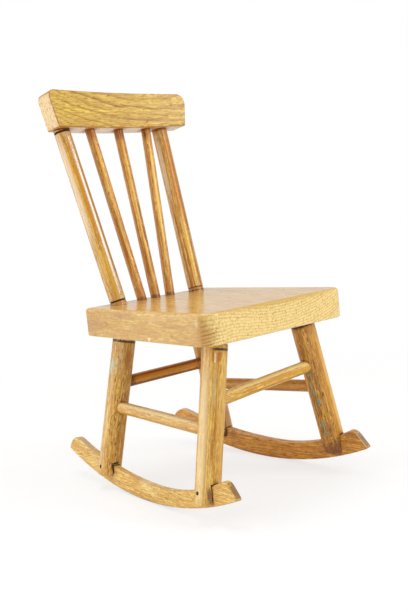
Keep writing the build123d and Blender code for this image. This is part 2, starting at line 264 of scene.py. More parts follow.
# Fibres, pores, stains and thin lines: noises stretched along the grain, which is the Z direction of the vector
def makeWoodFibre(noises):
    tree, given, result = newGroup("woodFibre", [
        ("Vector", "Vector", None), ("Seed", "Float", 0.0), ("Fibre Width", "Float", 0.8),
        ("Pore Length", "Float", 5.0), ("Streak Width", "Float", 5.0), ("Streak Length", "Float", 90.0),
    ], noises)
    offset = addNode(tree, "ShaderNodeCombineXYZ", {
        axis: calc(tree, "MULTIPLY", given["Seed"], step) for axis, step in enumerate(seedStep)}).outputs[0]
    place = vecCalc(tree, "ADD", given["Vector"], offset)
    other = vecCalc(tree, "ADD", place, otherPlace)
    for name, (across, along, detail, roughness, distortion, ends) in noises.items():
        across, along = (given[size] if isinstance(size, str) else size for size in (across, along))
        start = other if name in ("Band", "Lines") else place
        value = noiseOf(tree, scaledBy(tree, start, across, across, along), detail, roughness, distortion)["Fac"]
        if name == "Lines":  # a thin line runs where the noise crosses its middle
            value = calc(tree, "ABSOLUTE", calc(tree, "SUBTRACT", value, 0.5))
        tree.links.new(remap(tree, value, *ends) if ends else value, result[name])
    return tree


# How far the surface faces one way: the cosine between its normal and that way, or the size of it for both ways
def makeFacing():
    tree, given, result = newGroup("facing", [
        ("Way", "Vector", (0, 0, 1)), ("From", "Float", 0.5), ("To", "Float", 0.9), ("Both Ways", "Float", 0.0),
    ], ["Mask"])
    normal = addNode(tree, "ShaderNodeNewGeometry").outputs["Normal"]
    cosine = vecCalc(tree, "DOT_PRODUCT", normal, vecCalc(tree, "NORMALIZE", given["Way"]))
    size = mixValues(tree, given["Both Ways"], cosine, calc(tree, "ABSOLUTE", cosine))
    tree.links.new(remap(tree, size, given["From"], given["To"]), result["Mask"])
    return tree


wearValues = {"flat": 0.95, "turned": 0.80, "patchEnds": (0.35, 0.55)}  # largest part where wear starts and is full


# Wear where a board's edge turns: the largest of the normal's three parts along, across and up falls under one
def makeEdgeWear(values):
    tree, given, result = newGroup("edgeWear", [
        ("Vector", "Vector", None), ("Along", "Vector", (0, 0, 1)), ("Across", "Vector", (1, 0, 0)),
        ("Patch Size", "Float", 4.0), ("Amount", "Float", 1.0),
    ], ["Wear"])
    normal = addNode(tree, "ShaderNodeNewGeometry").outputs["Normal"]
    up = vecCalc(tree, "CROSS_PRODUCT", given["Along"], given["Across"])
    parts = [calc(tree, "ABSOLUTE", vecCalc(tree, "DOT_PRODUCT", normal, way))
             for way in (given["Along"], given["Across"], up)]
    largest = calc(tree, "MAXIMUM", calc(tree, "MAXIMUM", parts[0], parts[1]), parts[2])
    edge = remap(tree, largest, values["flat"], values["turned"])
    size = given["Patch Size"]
    noise = noiseOf(tree, scaledBy(tree, given["Vector"], size, size, size), detail=4.0, roughness=0.65)["Fac"]
    broken = calc(tree, "MULTIPLY", edge, remap(tree, noise, *values["patchEnds"]))
    tree.links.new(calc(tree, "MULTIPLY", broken, given["Amount"], clamp=True), result["Wear"])
    return tree


# the darker mask is dirt and painted shade together, the other is old glue
grimeAndShadeValues = {
    "noiseScale": 0.35, "uneven": (0.5, 1.5),  # patches to the millimetre, and how much they take away or add
    "GrimeAndShade": (0.42, 0.75), "Stain": (0.12, 0.42),  # the hidden share where each mask starts and is full
}


# Dirt with painted shade, and old glue, in the corners: how much of the near surroundings is hidden, broken by a
# noise
def makeJointGrimeAndShade(values):
    tree, given, result = newGroup("jointGrimeAndShade", [
        ("Vector", "Vector", None), ("Reach", "Float", 0.006), ("Amount", "Float", 1.0),
    ], ["GrimeAndShade", "Stain"])
    hidden = addNode(tree, "ShaderNodeAmbientOcclusion", {"Distance": given["Reach"]}, samples=8).outputs["AO"]
    patches = vecCalc(tree, "SCALE", given["Vector"], scale=values["noiseScale"])
    noise = noiseOf(tree, patches, detail=4.0, roughness=0.6)["Fac"]
    depth = calc(tree, "MULTIPLY", calc(tree, "SUBTRACT", 1.0, hidden), mixValues(tree, noise, *values["uneven"]))
    for name in ("GrimeAndShade", "Stain"):
        mask = calc(tree, "MULTIPLY", remap(tree, depth, *values[name]), given["Amount"], clamp=True)
        tree.links.new(mask, result[name])
    return tree


# A mark at one place: distance from its middle over its half sizes, with a ragged rim
def makePlacedMark():
    tree, given, result = newGroup("placedMark", [
        ("Vector", "Vector", None), ("Middle", "Vector", (0, 0, 0)), ("Half Size", "Vector", (3, 3, 3)),
        ("Ragged", "Float", 0.5), ("Grain Size", "Float", 2.0), ("Softness", "Float", 0.4),
    ], ["Mask"])
    local = vecCalc(tree, "DIVIDE", vecCalc(tree, "SUBTRACT", given["Vector"], given["Middle"]), given["Half Size"])
    size = given["Grain Size"]
    noise = noiseOf(tree, scaledBy(tree, given["Vector"], size, size, size), detail=3.0, roughness=0.6)["Fac"]
    swing = calc(tree, "MULTIPLY", given["Ragged"], 4.0)  # because the noise seldom leaves 0.25 to 0.75
    rim = calc(tree, "MULTIPLY", calc(tree, "SUBTRACT", noise, 0.5), swing)
    distance = calc(tree, "ADD", vecCalc(tree, "LENGTH", local), rim)
    mask = remap(tree, distance, 1.0, calc(tree, "SUBTRACT", 1.0, given["Softness"]))
    tree.links.new(mask, result["Mask"])
    return tree


growthRings, woodFibre, facing = makeGrowthRings(ringValues), makeWoodFibre(fibreNoises), makeFacing()
edgeWear, jointGrimeAndShade, placedMark = makeEdgeWear(wearValues), makeJointGrimeAndShade(grimeAndShadeValues), makePlacedMark()
print("stage: shared effects")

# Varnished wood

plainWood = {
    "early": (0.66, 0.39, 0.07), "late": (0.34, 0.15, 0.025), "paleTint": (0.80, 0.58, 0.20),
    "streakTint": (0.46, 0.18, 0.02), "bandTint": (0.78, 0.54, 0.16), "lineTint": (0.22, 0.07, 0.012),
    "poreTint": (0.34, 0.13, 0.014), "fibreTint": (0.48, 0.21, 0.022), "endTint": (0.80, 0.58, 0.22),
    "wornTint": (0.52, 0.30, 0.11), "grimeAndShadeTint": (0.035, 0.018, 0.010), "stainTint": (0.33, 0.12, 0.02),
    "heart": (30.0, 0.0), "lean": 0.0, "bend": 0.0, "spacing": 3.0, "wander": 2.0, "wanderLength": 60.0,
    "lateWidth": 0.5, "knot": (0, 0, 0), "knotSize": 20.0, "knotLift": 0.0,
    "pale": 0.3, "mottle": 0.35, "streaks": 0.5, "bands": 0.4, "rings": 0.5, "lines": 0.35, "fibre": 0.60,
    "pores": 0.75, "streakSize": (4.0, 90.0), "fibreWidth": 1.15, "poreLength": 6.0,
    "ends": 0.0, "endFaces": (0.45, 0.85), "endRings": 0.5, "ticks": 0.0, "tickSize": (0.9, 4.0, 40.0),
    "tickEnds": (0.50, 0.66), "wear": 0.5, "wearPatch": 4.0, "grimeAndShade": 1.0, "grimeAndShadeReach": 0.005, "stain": 0.6,
    "roughness": (0.20, 0.34), "wornDull": 0.6, "dullRoughness": 0.75,
    "specular": 0.4, "coat": 0.15, "coatRoughness": 0.20, "varnishIndex": 1.5,
    "fibreDepth": 0.010, "poreDepth": 0.020, "waveDepth": 0.25,  # millimetres
}

plainMark = {"ragged": 0.5, "grain": 2.0, "soft": 0.4, "dull": 0.0, "along": False, "only": None,
             "faces": None, "faceEnds": (0.5, 0.9)}


# A mark has its middle and half sizes, and where given the way that the marked surface faces and the only part of the
# grain that it tints. An "along" mark is placed along the piece from its origin
def mark(at, size, tint, strength=1.0, **more):
    return {**plainMark, "at": at, "size": size, "tint": tint, "strength": strength, **more}


# Millimetres from the piece's origin with Z along its grain, and the way across it squared to the grain
def pieceFrame(tree, coord, origin, way, crossWay):
    if crossWay is None:  # a dowel, which has no edges along it
        across, turned = None, way.to_track_quat("Z", "Y").to_euler()
    else:
        across = (Vector(crossWay) - way * Vector(crossWay).dot(way)).normalized()
        turned = Matrix((across, way.cross(across), way)).transposed().to_euler()
    local = addNode(tree, "ShaderNodeMapping", {
        "Vector": coord, "Location": [v / 1000 for v in origin], "Rotation": turned, "Scale": (0.001, 0.001, 0.001)},
        vector_type="TEXTURE").outputs[0]
    return local, across


# A tint of the look laid over the colour by a mask, at one of the look's strengths or in full
def over(tree, look, color, mask, tintName, strengthName=None):
    share = calc(tree, "MULTIPLY", mask, look[strengthName]) if strengthName else mask
    return mixColors(tree, share, color, (*look[tintName], 1))


# From the pale early wood, through stains and growth rings, to the dark pores
def grainColor(tree, look, rings, fibre):
    color = (*look["early"], 1)
    for mask, tintName, strengthName in (
            (fibre["Blotch"], "paleTint", "pale"), (fibre["Mottle"], "fibreTint", "mottle"),
            (fibre["Streak"], "streakTint", "streaks"), (fibre["Band"], "bandTint", "bands"),
            (rings["Late"], "late", "rings"), (fibre["Lines"], "lineTint", "lines"),
            (fibre["Fibre"], "fibreTint", "fibre"), (fibre["Pores"], "poreTint", "pores")):
        color = over(tree, look, color, mask, tintName, strengthName)
    return color


# Sawn across the grain the wood is paler, with the rings and short ticks across them
def endGrain(tree, look, color, local, way, rings):
    low, high = look["endFaces"]
    cut = useGroup(tree, facing, {"Way": way, "From": low, "To": high, "Both Ways": 1.0})["Mask"]
    noise = noiseOf(tree, scaledBy(tree, local, *look["tickSize"]), roughness=0.6)["Fac"]
    ticks = remap(tree, noise, *look["tickEnds"])
    endColor = over(tree, look, (*look["endTint"], 1), rings["Late"], "late", "endRings")
    endColor = over(tree, look, endColor, ticks, "fibreTint", "ticks")
    return mixColors(tree, calc(tree, "MULTIPLY", cut, look["ends"]), color, endColor)


def markMask(tree, spot, local, world, rings, fibre):
    mask = useGroup(tree, placedMark, {
        "Vector": local if spot["along"] else world, "Middle": spot["at"], "Half Size": spot["size"],
        "Ragged": spot["ragged"], "Grain Size": spot["grain"], "Softness": spot["soft"]})["Mask"]
    mask = calc(tree, "MULTIPLY", mask, spot["strength"])
    if spot["faces"]:
        low, high = spot["faceEnds"]
        faced = useGroup(tree, facing, {"Way": spot["faces"], "From": low, "To": high})["Mask"]
        mask = calc(tree, "MULTIPLY", mask, faced)
    if spot["only"]:
        mask = calc(tree, "MULTIPLY", mask, (rings if spot["only"] == "Late" else fibre)[spot["only"]])
    return mask


# Gloss and relief: the fibres and pores in the varnish, its slow waves, and no shine where it is worn or dirty
def varnishShader(tree, look, color, dull, fibre):
    roughness = mixValues(tree, fibre["Fibre"], *look["roughness"])
    roughness = mixValues(tree, dull, roughness, look["dullRoughness"])
    coat = calc(tree, "MULTIPLY", calc(tree, "SUBTRACT", 1.0, dull), look["coat"])
    height = calc(tree, "SUBTRACT", calc(tree, "MULTIPLY", fibre["Fibre"], look["fibreDepth"]),
                  calc(tree, "MULTIPLY", fibre["Pores"], look["poreDepth"]))
    height = calc(tree, "ADD", height, calc(tree, "MULTIPLY", fibre["Waves"], look["waveDepth"]))
    bump = addNode(tree, "ShaderNodeBump", {"Height": height, "Strength": 1.0, "Distance": 0.001}).outputs[0]
    return addNode(tree, "ShaderNodeBsdfPrincipled", {
        "Base Color": color, "Roughness": roughness, "Normal": bump, "Coat Weight": coat,
        "IOR": look["varnishIndex"], "Coat IOR": look["varnishIndex"],
        "Specular IOR Level": look["specular"], "Coat Roughness": look["coatRoughness"]}).outputs[0]


def woodMaterial(name, origin, grainWay, seed, changes, marks, crossWay=None):
    look = {**plainWood, **changes}
    material, tree = newMaterial(name)
    way = Vector(grainWay).normalized()
    coord = addNode(tree, "ShaderNodeTexCoord").outputs["Object"]
    local, across = pieceFrame(tree, coord, origin, way, crossWay)
    world = vecCalc(tree, "SCALE", coord, scale=1000.0)
    rings = useGroup(tree, growthRings, {
        "Vector": local, "Heart X": look["heart"][0], "Heart Y": look["heart"][1], "Lean": look["lean"],
        "Bend": look["bend"], "Spacing": look["spacing"], "Wander": look["wander"],
        "Wander Length": look["wanderLength"], "Late Width": look["lateWidth"], "Knot": look["knot"],
        "Knot Size": look["knotSize"], "Knot Lift": look["knotLift"]})
    fibre = useGroup(tree, woodFibre, {
        "Vector": local, "Seed": seed, "Fibre Width": look["fibreWidth"], "Pore Length": look["poreLength"],
        "Streak Width": look["streakSize"][0], "Streak Length": look["streakSize"][1]})
    dirtAndShade = useGroup(tree, jointGrimeAndShade, {"Vector": local, "Reach": look["grimeAndShadeReach"], "Amount": look["grimeAndShade"]})
    color, dull = grainColor(tree, look, rings, fibre), 0.0
    if look["ends"] > 0:
        color = endGrain(tree, look, color, local, way, rings)
    if across is not None:
        wear = useGroup(tree, edgeWear, {"Vector": local, "Along": way, "Across": across,
                                         "Patch Size": look["wearPatch"], "Amount": look["wear"]})["Wear"]
        color = over(tree, look, color, wear, "wornTint")
        dull = calc(tree, "MULTIPLY", wear, look["wornDull"])
    for spot in marks:
        mask = markMask(tree, spot, local, world, rings, fibre)
        color = mixColors(tree, mask, color, (*spot["tint"], 1))
        if spot["dull"]:
            dull = calc(tree, "MAXIMUM", dull, calc(tree, "MULTIPLY", mask, spot["dull"]))
    color = over(tree, look, color, dirtAndShade["Stain"], "stainTint", "stain")
    # near-black dirt and painted shade where the surface is hidden
    color = over(tree, look, color, dirtAndShade["GrimeAndShade"], "grimeAndShadeTint")
    dull = calc(tree, "MAXIMUM", dull, dirtAndShade["GrimeAndShade"])
    addNode(tree, "ShaderNodeOutputMaterial", {0: varnishShader(tree, look, color, dull, fibre)})
    return material


def dress(nodeName, material):
    slots = nodes[nodeName].data.materials
    for i in range(len(slots)):
        slots[i] = material


# The pieces, lengths in millimetres. Each one's values are those that differ from plain wood's

# the second colour here is painted shade, near-black, for the gaps, grooves and slot mouths
orangeStain, paintedGapShade, tealPaint = (0.50, 0.19, 0.015), (0.026, 0.011, 0.005), (0.13, 0.34, 0.26)
highlightCream, umber, drip, ochre = (0.93, 0.83, 0.66), (0.20, 0.06, 0.008), (0.48, 0.16, 0.012), (0.40, 0.15, 0.012)
seeds = {"seat": 1.0, "crest_rail": 2.0, "uprights": 3.0, "legs": 9.0, "stretchers": 14.0, "rockers": 19.0}

seatValues = {
    "middle": (0, -20.8, 162.5), "along": (0, 1, 0), "across": (1, 0, 0),
    "early": (0.70, 0.485, 0.125), "late": (0.48, 0.27, 0.05), "endTint": (0.87, 0.66, 0.25),
    "paleTint": (0.72, 0.49, 0.19), "streakTint": (0.52, 0.26, 0.07), "bandTint": (0.70, 0.46, 0.17),
    "fibreTint": (0.48, 0.23, 0.04), "poreTint": (0.36, 0.15, 0.03), "wornTint": (0.66, 0.42, 0.12),
    "heart": (0.0, -190.0), "spacing": 2.4, "wander": 1.2, "rings": 0.30, "knot": (-92.0, 8.0, -78.0),
    "knotSize": 30.0, "knotLift": -20.0, "lines": 0.3, "streaks": 0.45, "bands": 0.35, "pale": 0.4,
    "pores": 0.45, "ends": 1.0, "endRings": 0.70, "ticks": 0.70, "tickSize": (0.8, 2.2, 40.0), "stain": 0.35,
    "streakSize": (7.0, 45.0), "coat": 0.2, "waveDepth": 0.40, "roughness": (0.16, 0.26),
    "specular": 0.5, "fibreDepth": 0.006, "poreDepth": 0.010,
}
seatMarks = [
    mark((-82.8, -33.4, 151.9), (2.2, 2.2, 1.7), (0.84, 0.70, 0.42), 0.9, ragged=0.3),  # pale nick
    mark((-84.4, -67.6, 155.8), (1.2, 1.2, 1.2), (0.30, 0.15, 0.05), 0.7),  # dark dot
    mark((-82.0, -107.0, 158.0), (15.0, 13.0, 18.0), (0.50, 0.25, 0.05), 0.6, soft=0.8, ragged=0.3),  # round corner
    mark((-82.0, -107.0, 156.0), (17.0, 15.0, 18.0), (0.24, 0.09, 0.012), soft=0.7, ragged=0.3, only="Late",
         faces=(-0.50, -0.86, 0.0), faceEnds=(0.70, 0.90)),
    mark((0.0, -112.5, 175.6), (96.0, 5.0, 4.4), (0.52, 0.30, 0.04), 0.65, ragged=0.2, soft=0.6),  # front edge
    mark((-86.0, -102.0, 168.0), (3.0, 2.0, 5.0), (0.84, 0.72, 0.50), 0.45, soft=0.8),
    mark((-80.5, 8.0, 172.0), (4.0, 24.0, 2.6), (0.42, 0.22, 0.10), 0.45, ragged=0.9),  # scuffs on the right side
    mark((-78.5, 58.0, 160.0), (4.0, 22.0, 12.0), (0.42, 0.20, 0.09), 0.60, ragged=1.0, soft=0.8),
    mark((52.0, -2.0, 176.0), (6.0, 26.0, 2.0), (0.30, 0.14, 0.03), 0.5, ragged=0.8),  # stain on the upper face
]
dress("seat", woodMaterial("seatVarnish", seatValues["middle"], seatValues["along"], seeds["seat"], seatValues,
                           seatMarks, seatValues["across"]))

uprights = {  # where each axis meets the seat and the crest rail
    "right_post": ((-49.50, 53.80, 176.00), (-64.60, 97.15, 348.80)),
    "left_post": ((49.80, 53.80, 176.00), (57.60, 98.40, 348.63)),
    "right_back_rod": ((-17.90, 58.40, 176.00), (-32.90, 95.58, 349.01)),
    "middle_back_rod": ((-0.60, 58.40, 176.00), (2.40, 96.48, 348.89)),
    "left_back_rod": ((18.00, 58.40, 176.00), (37.50, 95.77, 348.98)),
}

railValues = {
    "middle": (4.3, 96.9, 366.0), "along": (1, 0, 0), "across": (0, 0.991, -0.132),
    "early": (0.86, 0.63, 0.10), "late": (0.24, 0.10, 0.010), "endTint": (0.74, 0.55, 0.28),
    "paleTint": (0.80, 0.58, 0.14), "streakTint": (0.58, 0.33, 0.05), "bandTint": (0.68, 0.44, 0.08),
    "fibreTint": (0.50, 0.27, 0.03), "poreTint": (0.32, 0.13, 0.016), "wornTint": (0.36, 0.15, 0.03),
    "lineTint": (0.34, 0.13, 0.014), "fibreWidth": 1.3, "poreLength": 9.0,
    "heart": (42.0, 34.0), "lean": 0.145, "bend": -0.0006, "spacing": 3.6, "lateWidth": 0.48, "wander": 3.0,
    "wanderLength": 42.0, "rings": 1.0, "lines": 0.5, "streaks": 0.4, "bands": 0.5, "fibre": 0.75,
    "pores": 0.90, "ends": 1.0, "endRings": 0.15, "ticks": 0.95, "tickSize": (1.0, 4.0, 40.0), "wear": 1.6,
    "wearPatch": 2.0, "waveDepth": 0.15, "grimeAndShade": 0.2,
}
railMarks = [mark((4.3, 96.0, 346.0), (120.0, 20.0, 9.0), (0.80, 0.68, 0.55), 0.8, ragged=0.1,
                  faces=(0.0, -0.13, -0.99), faceEnds=(0.80, 0.95))]  # painted reflection of the pale floor on its underside
for name, (low, high) in uprights.items():  # stain that ran round the top of each upright
    railMarks.append(mark(high, (12.5 if "post" in name else 9.5, 13.5, 5.5), orangeStain, ragged=0.35))
dress("crest_rail", woodMaterial("railVarnish", railValues["middle"], railValues["along"], seeds["crest_rail"],
                                 railValues, railMarks, railValues["across"]))
print("stage: seat and crest rail")

dowelRadii = {"post": 8.0, "rod": 4.85, "leg": 11.1, "stretcher": 5.8}
streakValues = {"beyond": 30, "edge": 1.3, "core": 0.5}  # past any dowel's radius; rim and full part over the width


# A ring round a dowel, at a distance from its origin
def ringAlong(place, half, tint, strength=1.0, **more):
    beyond = streakValues["beyond"]
    return mark((0, 0, place), (beyond, beyond, half), tint, strength, **{"along": True, "ragged": 0.1, **more})


# A streak along a dowel, between two distances from its origin, on the side that faces the given way. It ends where
# the normal has turned from that way by an arc of its width over the radius
def streakAlong(radius, low, high, way, width, tint, strength=0.8, **more):
    ends = [cos(streakValues[rim] * width / radius) for rim in ("edge", "core")]
    return ringAlong((low + high) / 2, (high - low) / 2, tint, strength,
                     **{"faces": way, "faceEnds": ends, "soft": 0.5, "ragged": 0.3, **more})


postStreak, rodStreak, legStreak, stretcherStreak = (partial(streakAlong, r) for r in dowelRadii.values())

postValues = {
    "early": (0.76, 0.505, 0.095), "paleTint": (0.84, 0.62, 0.20), "streakTint": (0.44, 0.16, 0.008),
    "bandTint": (0.84, 0.66, 0.30), "lineTint": (0.24, 0.09, 0.010), "heart": (4.0, 9.0), "spacing": 2.6,
    "rings": 0.45, "streaks": 0.85, "bands": 0.8, "lines": 0.8, "pale": 0.4, "streakSize": (2.4, 110.0),
    "fibre": 0.7, "pores": 0.85, "fibreTint": (0.48, 0.20, 0.018), "poreTint": (0.32, 0.11, 0.012),
    "grimeAndShade": 0.25, "stain": 0.2, "grimeAndShadeTint": (0.16, 0.06, 0.012), "waveDepth": 0.35, "roughness": (0.14, 0.24),
}
rodValues = {
    "early": (0.87, 0.51, 0.11), "streakTint": (0.44, 0.14, 0.012), "bandTint": (0.84, 0.58, 0.16),
    "heart": (3.0, 6.0), "spacing": 2.2, "rings": 0.35, "streaks": 0.8, "bands": 0.8, "lines": 0.8, "pale": 0.2,
    "streakSize": (2.0, 70.0), "grimeAndShade": 0.3, "stain": 0.3, "grimeAndShadeTint": (0.10, 0.035, 0.008), "waveDepth": 0.3,
    "specular": 0.3, "roughness": (0.16, 0.28), "fibre": 0.7, "pores": 0.85, "fibreTint": (0.48, 0.18, 0.018),
    "poreTint": (0.34, 0.09, 0.010),
}
uprightChanges = {"left_post": {"early": (0.72, 0.41, 0.06), "specular": 0.3},
                  "middle_back_rod": {"early": (0.80, 0.44, 0.08)}}
uprightMarks = {  # along each axis from the seat
    "right_post": [
        # painted highlight: a pale sheen down the left side
        postStreak(50, 190, (-0.97, -0.20, 0.0), 4.0, (0.80, 0.62, 0.42), 0.65, ragged=0.1),
        postStreak(-10, 190, (-0.75, -0.65, 0.10), 3.0, (0.76, 0.47, 0.05), 0.7, only="Streak"),
        postStreak(30, 190, (-0.35, -0.93, 0.20), 2.5, (0.52, 0.22, 0.010), 0.95),
        postStreak(-10, 60, (-0.40, -0.90, 0.20), 2.4, (0.62, 0.34, 0.02), 0.7),
        # painted highlight: a thin white line from the right lamp
        postStreak(-10, 190, (0.08, -0.98, 0.22), 1.3, (0.92, 0.88, 0.80), 0.9),
        postStreak(-10, 190, (0.38, -0.90, 0.20), 1.7, (0.36, 0.16, 0.02), 0.8),
        ringAlong(0.8, 2.6, (0.42, 0.19, 0.03), 0.7, ragged=0.3)],
    "left_post": [
        postStreak(50, 190, (-0.05, -0.97, 0.25), 3.8, (0.50, 0.18, 0.006), 0.9),
        postStreak(40, 190, (0.30, -0.93, 0.22), 1.6, (0.30, 0.11, 0.010), 0.8, only="Fibre"),
        # painted highlight down the right edge, then a painted sheen down the left side
        postStreak(-10, 190, (0.60, -0.77, 0.20), 1.8, (0.50, 0.42, 0.26), 0.9),
        postStreak(90, 180, (-0.95, -0.25, 0.0), 2.4, (0.78, 0.70, 0.48), 0.6),
        postStreak(0, 90, (-0.35, -0.90, 0.25), 2.0, (0.80, 0.50, 0.06), 0.7),
        postStreak(0, 130, (0.25, -0.94, 0.25), 1.2, umber, 0.5, only="Fibre"),
        ringAlong(0.8, 2.6, (0.36, 0.15, 0.02), 0.6, ragged=0.3)],
    "right_back_rod": [
        rodStreak(10, 115, (-0.30, -0.93, 0.2), 1.3, umber, 0.75, only="Fibre"),
        rodStreak(30, 100, (-0.75, -0.64, 0.1), 1.5, (0.40, 0.12, 0.01), 0.7)],
    "middle_back_rod": [
        rodStreak(20, 110, (0.10, -0.97, 0.2), 1.4, umber, 0.85, only="Fibre"),
        rodStreak(10, 60, (-0.60, -0.78, 0.1), 1.8, (0.34, 0.10, 0.008), 0.7)],
    "left_back_rod": [
        rodStreak(0, 70, (-0.50, -0.85, 0.2), 1.5, umber, 0.75, only="Fibre"),
        rodStreak(60, 165, (-0.20, -0.96, 0.2), 1.6, (0.82, 0.60, 0.16), 0.6)],
}


# Stains, and painted shade in the grooves and gaps, at the two ends of an upright, whose top is at that distance from
# the seat
def endMarks(name, top):
    if name == "right_post":
        return [ringAlong(top, 3.4, orangeStain, 0.95), ringAlong(top - 3.2, 1.5, paintedGapShade, dull=1.0),
                ringAlong(3.3, 1.15, paintedGapShade, ragged=0.15, dull=1.0)]
    if name == "left_post":
        return [ringAlong(top, 9.0, (0.46, 0.17, 0.01), 0.8, soft=0.7),
                # painted shade in the two grooves, then a dark ring at the seat
                ringAlong(top - 3.0, 1.2, (0.26, 0.09, 0.01), 0.5),
                ringAlong(3.3, 1.0, (0.16, 0.06, 0.01), 0.75, ragged=0.15),
                ringAlong(0.0, 0.8, (0.10, 0.04, 0.01), 0.8, ragged=0.2)]
    # a painted highlight strip, then a dark line down the left edge
    return [rodStreak(-10, 190, (-0.35, -0.91, 0.2), 0.9, (0.84, 0.55, 0.12), 0.65),
            rodStreak(-10, 190, (-0.95, -0.20, 0.1), 1.4, (0.34, 0.12, 0.01), 0.7),
            ringAlong(top, 18.0, (0.48, 0.16, 0.008), 0.9, ragged=0.3, soft=0.7),
            ringAlong(top, 14.0, (0.14, 0.04, 0.006), 0.85, only="Streak"),
            ringAlong(top, 4.5, (0.24, 0.07, 0.008), 0.75, ragged=0.5),
            ringAlong(4.0, 14.0, (0.46, 0.16, 0.012), 0.6, ragged=0.4, soft=0.7),
            ringAlong(0.0, 3.0, (0.20, 0.07, 0.010), 0.85, ragged=0.5)]


for count, (name, (low, high)) in enumerate(uprights.items()):
    way = Vector(high) - Vector(low)
    changes = {**(postValues if "post" in name else rodValues), **uprightChanges.get(name, {})}
    dress(name, woodMaterial(name + "Varnish", low, way, seeds["uprights"] + count, changes,
                             uprightMarks[name] + endMarks(name, way.length)))
print("stage: posts and rods")

legs = {  # foot and top of each axis
    "right_front_leg": ((-87.02, -91.12, 0.00), (-53.71, -86.70, 149.00)),
    "right_back_leg": ((-79.57, 63.16, 0.00), (-46.26, 53.00, 149.00)),
    "left_front_leg": ((87.02, -91.12, 0.00), (53.71, -86.70, 149.00)),
    "left_back_leg": ((79.57, 63.16, 0.00), (46.26, 53.00, 149.00)),
}
legValues = {
    "early": (0.72, 0.42, 0.06), "streakTint": (0.44, 0.17, 0.012), "bandTint": (0.84, 0.60, 0.18),
    "heart": (5.0, 12.0), "spacing": 3.2, "rings": 0.4, "streaks": 0.6, "bands": 0.6, "lines": 0.5,
    "streakSize": (3.2, 80.0), "waveDepth": 0.4, "specular": 0.35,
}
legChanges = {
    "right_front_leg": {"early": (0.83, 0.545, 0.095), "lines": 0.3, "pores": 0.55, "mottle": 0.5},
    "right_back_leg": {"early": (0.81, 0.52, 0.11), "roughness": (0.3, 0.45), "fibre": 0.75, "pores": 1.0},
    "left_front_leg": {"early": (0.68, 0.34, 0.04), "bandTint": (0.78, 0.48, 0.09), "pores": 1.0, "fibre": 0.7,
                       "roughness": (0.3, 0.45)},
    "left_back_leg": {"early": (0.46, 0.25, 0.07)},
}
paintFlecks = [  # down the left front leg: middle, half sizes, strength
    ((54.6, -90.0, 97.5), (2.0, 2.0, 2.4), 0.8), ((56.4, -90.5, 88.0), (1.4, 2.0, 2.6), 0.7),
    ((58.6, -91.0, 79.5), (2.2, 2.4, 2.6), 0.85), ((61.6, -92.6, 70.5), (2.0, 2.4, 3.4), 0.9),
    ((65.6, -92.6, 47.5), (1.6, 2.4, 3.2), 0.8), ((67.6, -93.6, 39.5), (1.2, 2.0, 2.4), 0.7),
]
